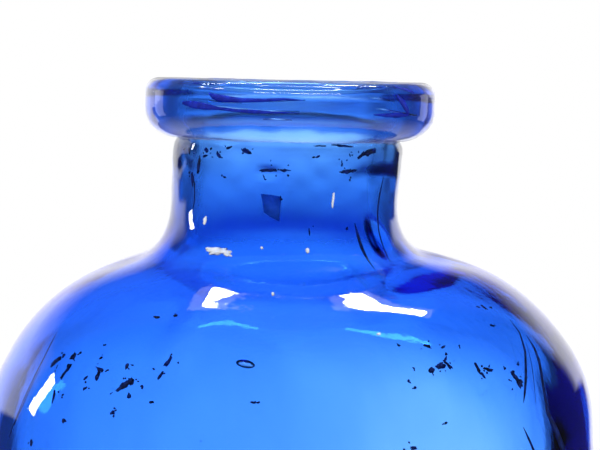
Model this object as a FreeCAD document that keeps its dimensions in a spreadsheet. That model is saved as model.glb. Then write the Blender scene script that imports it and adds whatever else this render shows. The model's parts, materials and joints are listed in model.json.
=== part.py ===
"""Antique hand-finished glass bottle: a blown body with a long round shoulder and a lip ring laid on hot.

Units are millimetres. +Z is up, and the origin is the middle of the foot, on the surface it stands on.
"""

import FreeCAD
import Part
import Sketcher
import math
import os

PARTS_FOLDER = "parts"
START, END, CENTRE = 1, 2, 3
HORIZONTAL_AXIS, VERTICAL_AXIS = -1, -2
ORIGIN = (-1, 1)
ROUND_SHARE = 0.9  # the most of its wall that a round may take

# Driving dimensions, one sheet row each: alias, value and what it measures.
DIMENSIONS = [
    ("bottle_height", 150.0, "foot to the top of the lip"),
    ("body_diameter", 70.0, "outside of the straight side"),
    ("side_wall", 2.6, "glass thickness of the side and the shoulder"),
    ("shoulder_radius", 22.3, "outside round of the shoulder"),
    ("heel_radius", 6.0, "outside round between the side and the foot"),
    ("inner_heel_radius", 9.0, "inside round between the side and the floor"),
    ("foot_ring_width", 7.0, "flat ring the bottle stands on"),
    ("push_up", 4.0, "height of the hollow under the foot"),
    ("base_thickness", 4.5, "glass at the middle of the floor"),
    ("heel_thickness", 5.5, "lowest point of the inside above the table"),
    ("neck_bore", 20.6, "inside of the neck"),
    ("neck_wall", 2.4, "glass thickness of the neck"),
    ("neck_length", 13.4, "top of the shoulder to the underside of the lip"),
    ("neck_fillet", 5.0, "outside hollow between the neck and the shoulder"),
    ("inner_neck_fillet", 7.0, "inside round between the neck and the shoulder"),
    ("mouth_step", 1.2, "how far the lipping tool's plug widened the bore, on each side"),
    ("mouth_depth", 8.1, "top of the lip to the ledge at the end of that bore"),
    ("mouth_ledge", 0.6, "height of the sloping ledge down to the neck's bore"),
    ("lip_overhang", 3.55, "how far the lip ring stands out from the neck"),
    ("lip_height", 6.6, "underside to top of the lip ring"),
    ("lip_under_radius", 3.1, "large round under the lip ring"),
    ("lip_top_radius", 1.5, "small round on the lip ring's upper edge"),
    ("mouth_edge_radius", 1.1, "round where the lip turns into the mouth"),
    ("lip_cover", 1.9, "how far the lip ring closes over the neck's sheared end"),
    ("lap_clearance", 0.02, "gap between the neck and the lip ring's socket"),
]


def make_sheet(doc):
    """The spreadsheet that holds every driving dimension."""
    sheet = doc.addObject("Spreadsheet::Sheet", "Dimensions")
    for row, (alias, value, meaning) in enumerate(DIMENSIONS, start=1):
        sheet.set(f"A{row}", meaning)
        sheet.set(f"B{row}", str(value))
        sheet.setAlias(f"B{row}", alias)
    doc.recompute()
    return sheet


class Outline:
    """A closed outline of lines and arcs in a body's XZ plane: x is distance from the axis, y is height."""

    def __init__(self, body, name):
        self.sketch = body.newObject("Sketcher::SketchObject", name)
        plane = next(o for o in body.Origin.OriginFeatures if o.Role == "XZ_Plane")
        self.sketch.AttachmentSupport = [(plane, "")]
        self.sketch.MapMode = "FlatFace"

    def line(self, start, end):
        """A straight stretch, as an index of the sketch's geometry."""
        return self.sketch.addGeometry(
            Part.LineSegment(FreeCAD.Vector(*start, 0), FreeCAD.Vector(*end, 0))
        )

    def arc(self, centre, radius, start_angle, end_angle):
        """A round stretch, anticlockwise from one angle to the other."""
        circle = Part.Circle(FreeCAD.Vector(*centre, 0), FreeCAD.Vector(0, 0, 1), radius)
        return self.sketch.addGeometry(Part.ArcOfCircle(circle, start_angle, end_angle))

    def rule(self, kind, *where):
        """A constraint with no size, such as Tangent or Horizontal."""
        self.sketch.addConstraint(Sketcher.Constraint(kind, *where))

    def size(self, name, kind, where, value, formula):
        """A constraint whose size follows the sheet."""
        index = self.sketch.addConstraint(Sketcher.Constraint(kind, *where, value))
        self.sketch.renameConstraint(index, name)
        self.sketch.setExpression(f"Constraints.{name}", formula)

    def radius_from_axis(self, name, point, value, formula):
        """The distance of a point from the bottle's axis."""
        self.size(name, "DistanceX", (*ORIGIN, *point), value, formula)

    def height(self, name, point, value, formula):
        """The height of a point above the table."""
        self.size(name, "DistanceY", (*ORIGIN, *point), value, formula)


def between_angles(centre_from, centre_to):
    """The direction from one circle's centre to another's, in radians."""
    return math.atan2(centre_to[1] - centre_from[1], centre_to[0] - centre_from[0])


def touching_fillet(line_radius, fillet, centre, radius):
    """Centre of a round that touches an upright line on its outside and a circle from outside."""
    across = line_radius + fillet - centre[0]
    return line_radius + fillet, centre[1] + math.sqrt((radius + fillet) ** 2 - across**2)


def revolve(body, kind, name, outline):
    """A Revolution or Groove of an outline, a full turn about the bottle's axis."""
    feature = body.newObject(f"PartDesign::{kind}", name)
    feature.Profile = outline.sketch
    feature.ReferenceAxis = (outline.sketch, ["V_Axis"])
    feature.Angle = 360
    outline.sketch.Visibility = False
    return feature


NECK_RADIUS = "(Dimensions.neck_bore / 2 + Dimensions.neck_wall)"
MOUTH_RADIUS = "(Dimensions.neck_bore / 2 + Dimensions.mouth_step)"
SHOULDER_TOP = (
    "(Dimensions.bottle_height - Dimensions.lip_height - Dimensions.neck_length)"
)
SHOULDER_CENTRE = f"({SHOULDER_TOP} - Dimensions.shoulder_radius)"
NECK_END = "(Dimensions.bottle_height - Dimensions.lip_cover)"
LIP_OVER_NECK = "(Dimensions.lip_overhang - Dimensions.lap_clearance)"
UNDER_ROUND = f"min(Dimensions.lip_under_radius; {ROUND_SHARE} * {LIP_OVER_NECK})"


def outer_outline(body, dim):
    """Outside of the blown body: push-up, foot ring, heel, side, shoulder, neck and sheared end."""
    body_r = dim.body_diameter / 2
    neck_r = dim.neck_bore / 2 + dim.neck_wall
    neck_end = dim.bottle_height - dim.lip_cover
    foot_out = body_r - dim.heel_radius
    foot_in = foot_out - dim.foot_ring_width
    dome = (foot_in**2 + dim.push_up**2) / (2 * dim.push_up)
    dome_centre = (0, dim.push_up - dome)
    shoulder_z = dim.bottle_height - dim.lip_height - dim.neck_length - dim.shoulder_radius
    shoulder = (body_r - dim.shoulder_radius, shoulder_z)
    fillet = touching_fillet(neck_r, dim.neck_fillet, shoulder, dim.shoulder_radius)
    turn = between_angles(shoulder, fillet)

    o = Outline(body, "outer_outline")
    push_up = o.arc(dome_centre, dome, between_angles(dome_centre, (foot_in, 0)), math.pi / 2)
    foot = o.line((foot_in, 0), (foot_out, 0))
    heel = o.arc((foot_out, dim.heel_radius), dim.heel_radius, -math.pi / 2, 0)
    side = o.line((body_r, dim.heel_radius), (body_r, shoulder_z))
    crown = o.arc(shoulder, dim.shoulder_radius, 0, turn)
    hollow = o.arc(fillet, dim.neck_fillet, math.pi, math.pi + turn)
    neck = o.line((neck_r, fillet[1]), (neck_r, neck_end))
    end = o.line((neck_r, neck_end), (0, neck_end))
    axis = o.line((0, neck_end), (0, dim.push_up))

    o.rule("Coincident", push_up, START, foot, START)
    o.rule("Tangent", foot, END, heel, START)
    o.rule("Tangent", heel, END, side, START)
    o.rule("Tangent", side, END, crown, START)
    o.rule("Tangent", crown, END, hollow, END)
    o.rule("Tangent", hollow, START, neck, START)
    o.rule("Coincident", neck, END, end, START)
    o.rule("Coincident", end, END, axis, START)
    o.rule("Coincident", axis, END, push_up, END)
    o.rule("PointOnObject", foot, START, HORIZONTAL_AXIS)
    o.rule("PointOnObject", push_up, CENTRE, VERTICAL_AXIS)
    o.rule("PointOnObject", push_up, END, VERTICAL_AXIS)
    o.rule("PointOnObject", end, END, VERTICAL_AXIS)
    o.rule("Horizontal", foot)
    o.rule("Vertical", side)
    o.rule("Vertical", neck)
    o.rule("Horizontal", end)

    o.radius_from_axis("body_radius", (side, START), body_r, "Dimensions.body_diameter / 2")
    o.radius_from_axis("neck_radius", (neck, START), neck_r, NECK_RADIUS)
    o.size("heel", "Radius", (heel,), dim.heel_radius, "Dimensions.heel_radius")
    o.size("shoulder", "Radius", (crown,), dim.shoulder_radius, "Dimensions.shoulder_radius")
    o.size("fillet", "Radius", (hollow,), dim.neck_fillet, "Dimensions.neck_fillet")
    o.size(
        "foot_width", "DistanceX", (foot, START, foot, END),
        dim.foot_ring_width, "Dimensions.foot_ring_width",
    )
    o.height("push_up_height", (push_up, END), dim.push_up, "Dimensions.push_up")
    o.height("shoulder_height", (crown, CENTRE), shoulder_z, SHOULDER_CENTRE)
    o.height("neck_end_height", (end, START), neck_end, NECK_END)
    return o


def cavity_outline(body, dim):
    """Inside of the blown body: floor over the push-up, side, shoulder, neck bore and wider mouth bore."""
    wall_r = dim.body_diameter / 2 - dim.side_wall
    bore_r = dim.neck_bore / 2
    mouth_r = dim.neck_bore / 2 + dim.mouth_step
    neck_end = dim.bottle_height - dim.lip_cover
    ledge_top = dim.bottle_height - dim.mouth_depth
    floor_top = dim.push_up + dim.base_thickness
    heel_r = dim.inner_heel_radius
    heel = (wall_r - heel_r, dim.heel_thickness + heel_r)
    drop = heel[1] - floor_top
    dome = (heel[0] ** 2 + drop**2 - heel_r**2) / (2 * (heel_r - drop))
    dome_centre = (0, floor_top - dome)
    floor_turn = between_angles(dome_centre, heel)
    shoulder_z = dim.bottle_height - dim.lip_height - dim.neck_length - dim.shoulder_radius
    shoulder = (dim.body_diameter / 2 - dim.shoulder_radius, shoulder_z)
    shoulder_r = dim.shoulder_radius - dim.side_wall
    fillet = touching_fillet(bore_r, dim.inner_neck_fillet, shoulder, shoulder_r)
    turn = between_angles(shoulder, fillet)

    o = Outline(body, "cavity_outline")
    floor = o.arc(dome_centre, dome, floor_turn, math.pi / 2)
    corner = o.arc(heel, heel_r, math.pi + floor_turn, 2 * math.pi)
    side = o.line((wall_r, heel[1]), (wall_r, shoulder_z))
    crown = o.arc(shoulder, shoulder_r, 0, turn)
    hollow = o.arc(fillet, dim.inner_neck_fillet, math.pi, math.pi + turn)
    bore = o.line((bore_r, fillet[1]), (bore_r, ledge_top - dim.mouth_ledge))
    ledge = o.line((bore_r, ledge_top - dim.mouth_ledge), (mouth_r, ledge_top))
    mouth = o.line((mouth_r, ledge_top), (mouth_r, neck_end))
    top = o.line((mouth_r, neck_end), (0, neck_end))
    axis = o.line((0, neck_end), (0, floor_top))

    o.rule("Tangent", floor, START, corner, START)
    o.rule("Tangent", corner, END, side, START)
    o.rule("Tangent", side, END, crown, START)
    o.rule("Tangent", crown, END, hollow, END)
    o.rule("Tangent", hollow, START, bore, START)
    o.rule("Coincident", bore, END, ledge, START)
    o.rule("Coincident", ledge, END, mouth, START)
    o.rule("Coincident", mouth, END, top, START)
    o.rule("Coincident", top, END, axis, START)
    o.rule("Coincident", axis, END, floor, END)
    o.rule("PointOnObject", floor, CENTRE, VERTICAL_AXIS)
    o.rule("PointOnObject", floor, END, VERTICAL_AXIS)
    o.rule("PointOnObject", top, END, VERTICAL_AXIS)
    o.rule("Vertical", side)
    o.rule("Vertical", bore)
    o.rule("Vertical", mouth)
    o.rule("Horizontal", top)

    o.radius_from_axis(
        "wall_radius", (side, START), wall_r, "Dimensions.body_diameter / 2 - Dimensions.side_wall"
    )
    o.radius_from_axis("bore_radius", (bore, START), bore_r, "Dimensions.neck_bore / 2")
    o.radius_from_axis("mouth_radius", (mouth, START), mouth_r, MOUTH_RADIUS)
    o.size("corner_radius", "Radius", (corner,), heel_r, "Dimensions.inner_heel_radius")
    o.size(
        "crown_radius", "Radius", (crown,),
        shoulder_r, "Dimensions.shoulder_radius - Dimensions.side_wall",
    )
    o.size("fillet", "Radius", (hollow,), dim.inner_neck_fillet, "Dimensions.inner_neck_fillet")
    o.height("floor_height", (floor, END), floor_top, "Dimensions.push_up + Dimensions.base_thickness")
    o.height(
        "corner_height", (corner, CENTRE), heel[1],
        "Dimensions.heel_thickness + Dimensions.inner_heel_radius",
    )
    o.height("crown_height", (crown, CENTRE), shoulder_z, SHOULDER_CENTRE)
    o.height(
        "ledge_top_height", (ledge, END), ledge_top, "Dimensions.bottle_height - Dimensions.mouth_depth"
    )
    o.height(
        "ledge_foot_height", (ledge, START), ledge_top - dim.mouth_ledge,
        "Dimensions.bottle_height - Dimensions.mouth_depth - Dimensions.mouth_ledge",
    )
    o.height("mouth_end_height", (mouth, END), neck_end, NECK_END)
    return o


def lip_outline(body, dim):
    """Section of the lip ring: full round below, smaller one above, and a socket that laps the neck's end."""
    neck_r = dim.neck_bore / 2 + dim.neck_wall
    lip_r = neck_r + dim.lip_overhang
    mouth_r = dim.neck_bore / 2 + dim.mouth_step
    socket_r = neck_r + dim.lap_clearance
    top_z = dim.bottle_height
    under_z = top_z - dim.lip_height
    seat_z = top_z - dim.lip_cover
    round_r = min(dim.lip_under_radius, ROUND_SHARE * (lip_r - socket_r))
    under = (lip_r - round_r, under_z + round_r)
    upper = (lip_r - dim.lip_top_radius, top_z - dim.lip_top_radius)
    edge = (mouth_r + dim.mouth_edge_radius, top_z - dim.mouth_edge_radius)

    o = Outline(body, "lip_outline")
    underside = o.line((socket_r, under_z), (under[0], under_z))
    under_round = o.arc(under, round_r, -math.pi / 2, 0)
    side = o.line((lip_r, under[1]), (lip_r, upper[1]))
    upper_round = o.arc(upper, dim.lip_top_radius, 0, math.pi / 2)
    top = o.line((upper[0], top_z), (edge[0], top_z))
    mouth_round = o.arc(edge, dim.mouth_edge_radius, math.pi / 2, math.pi)
    mouth = o.line((mouth_r, edge[1]), (mouth_r, seat_z))
    seat = o.line((mouth_r, seat_z), (socket_r, seat_z))
    socket = o.line((socket_r, seat_z), (socket_r, under_z))

    o.rule("Tangent", underside, END, under_round, START)
    o.rule("Tangent", under_round, END, side, START)
    o.rule("Tangent", side, END, upper_round, START)
    o.rule("Tangent", upper_round, END, top, START)
    o.rule("Tangent", top, END, mouth_round, START)
    o.rule("Tangent", mouth_round, END, mouth, START)
    o.rule("Coincident", mouth, END, seat, START)
    o.rule("Coincident", seat, END, socket, START)
    o.rule("Coincident", socket, END, underside, START)
    for level in (underside, top, seat):
        o.rule("Horizontal", level)
    for upright in (side, mouth, socket):
        o.rule("Vertical", upright)

    o.radius_from_axis("lip_radius", (side, START), lip_r, f"{NECK_RADIUS} + Dimensions.lip_overhang")
    o.radius_from_axis("mouth_radius", (mouth, START), mouth_r, MOUTH_RADIUS)
    o.radius_from_axis(
        "socket_radius", (socket, START), socket_r, f"{NECK_RADIUS} + Dimensions.lap_clearance"
    )
    o.size("under_radius", "Radius", (under_round,), round_r, UNDER_ROUND)
    o.size("upper_radius", "Radius", (upper_round,), dim.lip_top_radius, "Dimensions.lip_top_radius")
    o.size("edge_radius", "Radius", (mouth_round,), dim.mouth_edge_radius, "Dimensions.mouth_edge_radius")
    o.height("top_height", (top, START), top_z, "Dimensions.bottle_height")
    o.height("under_height", (underside, START), under_z, "Dimensions.bottle_height - Dimensions.lip_height")
    o.height("seat_height", (seat, START), seat_z, NECK_END)
    return o


def make_blown_body(doc, dim):
    """The bubble of glass blown for the body, shoulder and neck, hollow to its sheared end."""
    body = doc.addObject("PartDesign::Body", "blown_body")
    revolve(body, "Revolution", "blown_outside", outer_outline(body, dim))
    doc.recompute()
    solid_volume = body.Shape.Volume
    revolve(body, "Groove", "blown_inside", cavity_outline(body, dim))
    doc.recompute()
    print(f"blown body: {solid_volume:.0f} mm3 outside, {body.Shape.Volume:.0f} mm3 of glass")
    return body


def make_applied_lip(doc, dim):
    """The second gather of glass, laid round the neck's end and tooled into a ring."""
    body = doc.addObject("PartDesign::Body", "applied_lip")
    revolve(body, "Revolution", "tooled_ring", lip_outline(body, dim))
    doc.recompute()
    print(f"applied lip: {body.Shape.Volume:.0f} mm3 of glass")
    return body


def check(doc, sub_parts):
    """Stops if any object failed to build or any sub-part isn't one sound solid."""
    for item in doc.Objects:
        if "Invalid" in item.State or "Error" in item.State:
            raise RuntimeError(f"{item.Label} failed: {item.State}")
    for part in sub_parts:
        shape = part.Shape
        if shape.isNull() or not shape.isValid() or len(shape.Solids) != 1:
            raise RuntimeError(f"{part.Label} isn't one valid solid")


def write(sub_parts):
    """One STEP file per sub-part, named by its label."""
    os.makedirs(PARTS_FOLDER, exist_ok=True)
    for part in sub_parts:
        part.Shape.exportStep(os.path.join(PARTS_FOLDER, f"{part.Label}.step"))


def main():
    doc = FreeCAD.newDocument("antique_bottle")
    dim = make_sheet(doc)
    sub_parts = [make_blown_body(doc, dim), make_applied_lip(doc, dim)]
    doc.recompute()
    check(doc, sub_parts)
    write(sub_parts)


main()
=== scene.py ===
# %% [markdown]
# # A hand-finished cobalt bottle
# The bottle is two gathers of blue glass: a blown body with a long round shoulder, and a ring of glass laid
# round the end of its neck for a lip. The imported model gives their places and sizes, in metres, and this
# lesson gives them the uneven walls, seeds and flecks that old glass has. Nothing here moves or resizes it.

import json
import math
import random

import bmesh
import bpy
from mathutils import Euler, Matrix, Vector, noise
from mathutils.bvhtree import BVHTree

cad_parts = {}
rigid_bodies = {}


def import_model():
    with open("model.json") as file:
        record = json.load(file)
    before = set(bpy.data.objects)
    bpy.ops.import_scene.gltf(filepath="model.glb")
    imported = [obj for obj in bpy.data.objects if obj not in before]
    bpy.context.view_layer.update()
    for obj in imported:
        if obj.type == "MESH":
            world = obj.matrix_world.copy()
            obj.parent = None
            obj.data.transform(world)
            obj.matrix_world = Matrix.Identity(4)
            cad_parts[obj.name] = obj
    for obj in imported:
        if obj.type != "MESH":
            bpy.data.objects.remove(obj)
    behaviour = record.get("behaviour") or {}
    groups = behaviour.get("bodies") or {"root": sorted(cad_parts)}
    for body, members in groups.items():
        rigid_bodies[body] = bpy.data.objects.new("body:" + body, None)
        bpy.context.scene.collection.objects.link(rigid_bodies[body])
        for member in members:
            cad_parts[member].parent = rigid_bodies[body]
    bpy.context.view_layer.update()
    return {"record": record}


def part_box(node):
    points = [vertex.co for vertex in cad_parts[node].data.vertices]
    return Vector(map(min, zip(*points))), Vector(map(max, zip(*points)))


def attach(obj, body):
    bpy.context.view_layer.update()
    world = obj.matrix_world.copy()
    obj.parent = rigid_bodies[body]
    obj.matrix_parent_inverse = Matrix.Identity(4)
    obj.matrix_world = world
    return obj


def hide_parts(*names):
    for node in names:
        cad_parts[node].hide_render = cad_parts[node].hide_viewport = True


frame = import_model()
MM = 0.001
body_low, body_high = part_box("blown_body")
lip_low, lip_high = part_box("applied_lip")
print("body", [round(v / MM, 2) for v in body_high], "lip", [round(v / MM, 2) for v in lip_high])

# %% [markdown]
# ## Sizes
# Most sizes come from the frame's boxes. The few that no box gives, such as walls and rounds, are written
# here once, in millimetres. An outline is a half section: distance from the axis, then height.

# %% Sizes of the two gathers, in millimetres
TOP = lip_high[2] / MM
LIP_UNDER = lip_low[2] / MM
LIP_R = lip_high[0] / MM
NECK_END = body_high[2] / MM
OUTSIDE_PLAY = 0.06
BODY_R = body_high[0] / MM - OUTSIDE_PLAY
NECK_R = 12.7
BORE_R = 10.3
MOUTH_R = frame["record"]["mounts"][0]["dims"]["r_mm"]
LEDGE_TOP = TOP - 8.1
LEDGE_FOOT = LEDGE_TOP - 0.6
SIDE_WALL = 2.6
SHOULDER_R = BODY_R - NECK_R
SHOULDER = (NECK_R, LIP_UNDER - 13.4 - SHOULDER_R)
NECK_FILLET = 5.0
INNER_NECK_FILLET = 7.0
LAP_GAP = 0.03
STEPS = 224
print("neck", NECK_R, "mouth", MOUTH_R, "shoulder round", round(SHOULDER_R, 2))

# %% [markdown]
# ## The eye
# The photograph was taken close to the bottle, from the height of the lip's top. Marks in the glass are read
# off it as pixels, and the eye's place turns a pixel into a line of sight that meets the wall.

# %% Eye and lines of sight
EYE_DISTANCE = 200.0
PIXELS_PER_MM = 8.8
IMAGE_W, IMAGE_H = 600, 450
AXIS_X, LIP_TOP_Y = 289, 77
FOCAL = PIXELS_PER_MM * EYE_DISTANCE
EYE = Vector((0, -EYE_DISTANCE, TOP)) * MM
DIP = math.atan((IMAGE_H / 2 - LIP_TOP_Y) / FOCAL)
SWING = math.atan((IMAGE_W / 2 - AXIS_X) / FOCAL)
LOOK = Euler((math.pi / 2 - DIP, 0, -SWING))


def sight(x, y):
    """The direction from the eye through a pixel."""
    return (LOOK.to_matrix() @ Vector((x - IMAGE_W / 2, IMAGE_H / 2 - y, -FOCAL))).normalized()


def pixel(co):
    """The pixel at which a point is seen."""
    seen = LOOK.to_matrix().transposed() @ (co - EYE)
    return IMAGE_W / 2 - FOCAL * seen.x / seen.z, IMAGE_H / 2 + FOCAL * seen.y / seen.z


def wall_spot(tree, x, y, turn, depth):
    """A matrix in the wall behind a pixel, depth mm deep: along turn in the picture, across, out."""
    place, normal, _, _ = tree.ray_cast(EYE, sight(x, y))
    along = LOOK.to_matrix() @ Vector((math.cos(math.radians(turn)), -math.sin(math.radians(turn)), 0))
    along = (along - normal * along.dot(normal)).normalized()
    axes = Matrix((along, normal.cross(along), normal)).transposed().to_4x4()
    return Matrix.Translation(place - normal * depth * MM) @ axes


print("eye", EYE_DISTANCE, "mm away, looking", round(math.degrees(DIP), 1), "degrees down")

# %% [markdown]
# ## Half sections
# Turned work is drawn as half of its outline. Straight and round stretches are laid end to end as points,
# closer together where the outline curves tightly. A curve object could hold the outline too, but stretches
# made from sizes follow when a size is changed.

# %% Helpers that lay out half sections
FINE, MIDDLING, COARSE = 0.6, 1.2, 2.6


def line(start, end, step):
    """Points along a straight stretch, without its first one."""
    count = max(1, round(math.dist(start, end) / step))
    return [
        tuple(a + (b - a) * i / count for a, b in zip(start, end)) for i in range(1, count + 1)
    ]


def arc(centre, radius, start, end, step):
    """Points along a round stretch between two angles in radians, without its first one."""
    count = max(2, round(abs(end - start) * radius / step))
    angles = [start + (end - start) * i / count for i in range(1, count + 1)]
    return [(centre[0] + radius * math.cos(a), centre[1] + radius * math.sin(a)) for a in angles]


def neck_round(side_radius, fillet, shoulder_radius):
    """Centre of the round between the neck and the shoulder, and the angle at which they touch."""
    across = side_radius + fillet - SHOULDER[0]
    up = math.sqrt((shoulder_radius + fillet) ** 2 - across**2)
    return (side_radius + fillet, SHOULDER[1] + up), math.atan2(up, across)


print("points every", FINE, "to", COARSE, "mm")

# %% [markdown]
# ## Spinning a section
# Glass on a blowpipe is turned all the time, so its natural model is a half section spun about the axis.
# A subdivision surface would be slow at the poles, where hundreds of edges meet, so the section itself has
# enough points. smooth_vert relaxes the section first, because hot glass flows and has no sharp change of
# curve, and each such change would show as a hard line in the refraction. A quarter is spun and copied round,
# which keeps the four quarters exactly alike.

# %% Spin helper
QUARTER = math.tau / 4


def spun(section, soft_from, soft_rounds):
    """A bmesh of a half section turned about Z. Points above soft_from are relaxed first."""
    bm = bmesh.new()
    verts = [bm.verts.new((r * MM, 0, z * MM)) for r, z in section]
    edges = [bm.edges.new(pair) for pair in zip(verts, verts[1:])]
    soft = [v for v in verts[1:-1] if v.co.z > soft_from * MM]
    for _ in range(soft_rounds):
        bmesh.ops.smooth_vert(bm, verts=soft, factor=0.5, use_axis_x=True, use_axis_z=True)
    bmesh.ops.spin(
        bm, geom=verts + edges, cent=(0, 0, 0), axis=(0, 0, 1), angle=QUARTER, steps=STEPS // 4
    )
    for turn in (QUARTER, 2 * QUARTER):
        copy = bmesh.ops.duplicate(bm, geom=bm.verts[:] + bm.edges[:] + bm.faces[:])["geom"]
        copied = [part for part in copy if isinstance(part, bmesh.types.BMVert)]
        bmesh.ops.rotate(bm, cent=(0, 0, 0), matrix=Matrix.Rotation(turn, 3, "Z"), verts=copied)
    bmesh.ops.remove_doubles(bm, verts=bm.verts, dist=1e-3 * MM)
    bmesh.ops.recalc_face_normals(bm, faces=bm.faces)
    bm.normal_update()
    return bm


print("a full turn has", STEPS, "steps")

# %% [markdown]
# ## The crook in the neck
# The finisher held the neck by hand, so the lip sits a little lower on one side and the neck leans.
# One function bends both gathers alike, so the ring still laps the neck's end.

# %% Crook shared by the neck and the lip
LIP_TILT = math.radians(1.27)
CROOK_FOOT, CROOK_TOP = 126.0, 143.0
NECK_LEAN, LEAN_FOOT, LEAN_HEIGHT = 0.45, 119.0, 24.0


def smoothstep(low, high, value):
    """0 below low, 1 above high, and an easy S between them."""
    share = min(1.0, max(0.0, (value - low) / (high - low)))
    return share * share * (3 - 2 * share)


def crooked(co):
    """The place of a point once the neck and the lip are bent, in metres."""
    share = smoothstep(CROOK_FOOT * MM, CROOK_TOP * MM, co.z)
    pivot = Vector((0, 0, (TOP + LIP_UNDER) / 2 * MM))
    turned = pivot + Matrix.Rotation(LIP_TILT * share, 3, "Y") @ (co - pivot)
    sink = LIP_R * math.sin(LIP_TILT) * MM * share
    lean_share = min(1.0, max(0.0, (co.z / MM - LEAN_FOOT) / LEAN_HEIGHT))
    lean = -NECK_LEAN * MM * math.sin(math.pi * lean_share)
    return turned + Vector((lean, 0, -sink))


print("lip tilted", round(math.degrees(LIP_TILT), 2), "degrees, neck leaning", NECK_LEAN, "mm")

# %% [markdown]
# ## Uneven walls
# The outside was shaped on a block and is nearly true. The inside was shaped by breath alone, so it wanders
# more. Sculpting could do this by hand, but every point is moved along its own normal by formula, so that
# the walls can be changed by a number: first where the gather swells or thins, then by slow noise.

# %% Where the glass swells and where it is thin, in millimetres
SWELL = {"front": 1.35, "back": 0.3, "left": -0.4, "right": -0.6}
SWELL_REACH = 12.0
INNER_SWELL = 0.5
BULGE = {"left": 0.2, "right": 0.65}
BULGE_HEIGHT, BULGE_REACH = (109, 117), (NECK_R + 1, NECK_R + 6)
NECK_SWELL, NECK_FOOT, NECK_HEAD = 0.35, (129, 133), (142.4, 143.4)
THIN_WALL, THIN_SIDE, THIN_FOOT, THIN_TOP = 1.05, (-6, 20), (16, 40), (108, 126)
THICK_RIM, RIM_SIDE = 0.15, (23, 33)
THICK_ROOT, ROOT_FOOT, ROOT_TOP = 0.4, (118, 132), (132, 142)


def swell(co, inner):
    """How far a point moves along its normal where the gather swells or its wall is thin, in mm."""
    x, z, radius = co.x / MM, co.z / MM, math.hypot(co.x, co.y) / MM
    if radius < 1:
        return 0
    side, back = x / radius, co.y / MM / radius
    side_name = "right" if side > 0 else "left"
    height = SWELL["back" if back > 0 else "front"] * back**2 + SWELL[side_name] * side**2
    corner = math.hypot(radius - NECK_R, z - SHOULDER[1] - SHOULDER_R)
    out = height * max(0, 1 - (corner / SWELL_REACH) ** 2) ** 2
    out += BULGE[side_name] * side**2 * smoothstep(*BULGE_HEIGHT, z) * smoothstep(*BULGE_REACH, radius)
    if radius < BULGE_REACH[1]:
        out += NECK_SWELL * smoothstep(*NECK_FOOT, z) * (1 - smoothstep(*NECK_HEAD, z))
    if not inner:
        return out
    rim = smoothstep(*RIM_SIDE, abs(x))
    thin = THIN_WALL * smoothstep(*THIN_SIDE, x) * (1 - rim) - THICK_RIM * rim
    thin *= smoothstep(*THIN_FOOT, z) * (1 - smoothstep(*THIN_TOP, z))
    thick = THICK_ROOT * smoothstep(*ROOT_FOOT, z) * (1 - smoothstep(*ROOT_TOP, z))
    return thick - INNER_SWELL * out - thin


print("front swells by", SWELL["front"], "mm, right wall thinner by", THIN_WALL, "mm")

# %% Patches of thin and thick glass
# Each is an oval on the inside of the front wall: pixel x and y, half length, half width, turn in degrees
# and depth in millimetres, where a negative depth is thick glass.
PATCHES = [
    (190, 352, 60, 30, 128, 0.2), (422, 292, 46, 17, 172, -0.3), (368, 171, 30, 13, 175, -0.3),
    (273, 170, 16, 6, 0, -0.3), (372, 245, 34, 9, 70, -0.8), (190, 168, 16, 10, 95, -0.25),
]


def patch(co):
    """How far the inside of the front wall lies out at a patch of thin glass, or in at a thick one, in mm."""
    x, y = pixel(co)
    out = 0
    for centre_x, centre_y, length, width, turn, depth in PATCHES:
        cos, sin = math.cos(math.radians(turn)), math.sin(math.radians(turn))
        along = ((x - centre_x) * cos + (y - centre_y) * sin) / length
        across = ((y - centre_y) * cos - (x - centre_x) * sin) / width
        out += depth * max(0, 1 - along**2 - across**2) ** 2
    return out


print(len(PATCHES), "patches of thin or thick glass")

# %% Helper that makes a wall uneven
# The haze attribute marks the inside, which time has dulled more in the neck than lower down.
HAZE_LEAST, HAZE_NECK = 0.05, (127, 133)
CLEAR_SIDE, CLEAR_FROM = 0.3, (0.7, 0.9)
STEADY_FOOT = (6, 14)
SLOW_SHARE, QUICK_GRAIN = 0.75, 2.7
INNER_SHIFT, QUICK_SHIFT = Vector((0, 0, 7.0)), Vector((3.1, 0, 0))
WRINKLE, WRINKLE_GRAIN, WRINKLE_HEIGHT, WRINKLE_R = 0.07, 1.8, (134, 141), NECK_R + 0.5


def uneven(bm, outside, inside, grain):
    """Moves every point along its normal by smooth noise. outside and inside are the most it moves, in mm."""
    haze = bm.verts.layers.float.new("haze")
    for vert in bm.verts:
        radius = max(math.hypot(vert.co.x, vert.co.y), MM)
        inner = vert.normal.x * vert.co.x + vert.normal.y * vert.co.y < 0
        clear = CLEAR_SIDE * smoothstep(*CLEAR_FROM, abs(vert.co.x) / radius)
        dull = HAZE_LEAST + (1 - HAZE_LEAST) * smoothstep(*HAZE_NECK, vert.co.z / MM)
        vert[haze] = inner * (1 - clear) * dull
        front = inner and vert.co.y < 0
        vert.co += vert.normal * (swell(vert.co, inner) - (patch(vert.co) if front else 0)) * MM
        depth = (inside if inner else outside) * smoothstep(*STEADY_FOOT, vert.co.z / MM)
        place = Vector(a / b / MM for a, b in zip(vert.co, grain))
        slow = noise.noise(place + inner * INNER_SHIFT)
        quick = noise.noise(place * QUICK_GRAIN + QUICK_SHIFT)
        vert.co += vert.normal * (SLOW_SHARE * slow + (1 - SLOW_SHARE) * quick) * depth * MM
        tooled = WRINKLE * smoothstep(*WRINKLE_HEIGHT, vert.co.z / MM) * (radius < WRINKLE_R * MM)
        vert.co += vert.normal * noise.noise(vert.co / MM / WRINKLE_GRAIN) * tooled * MM


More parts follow.
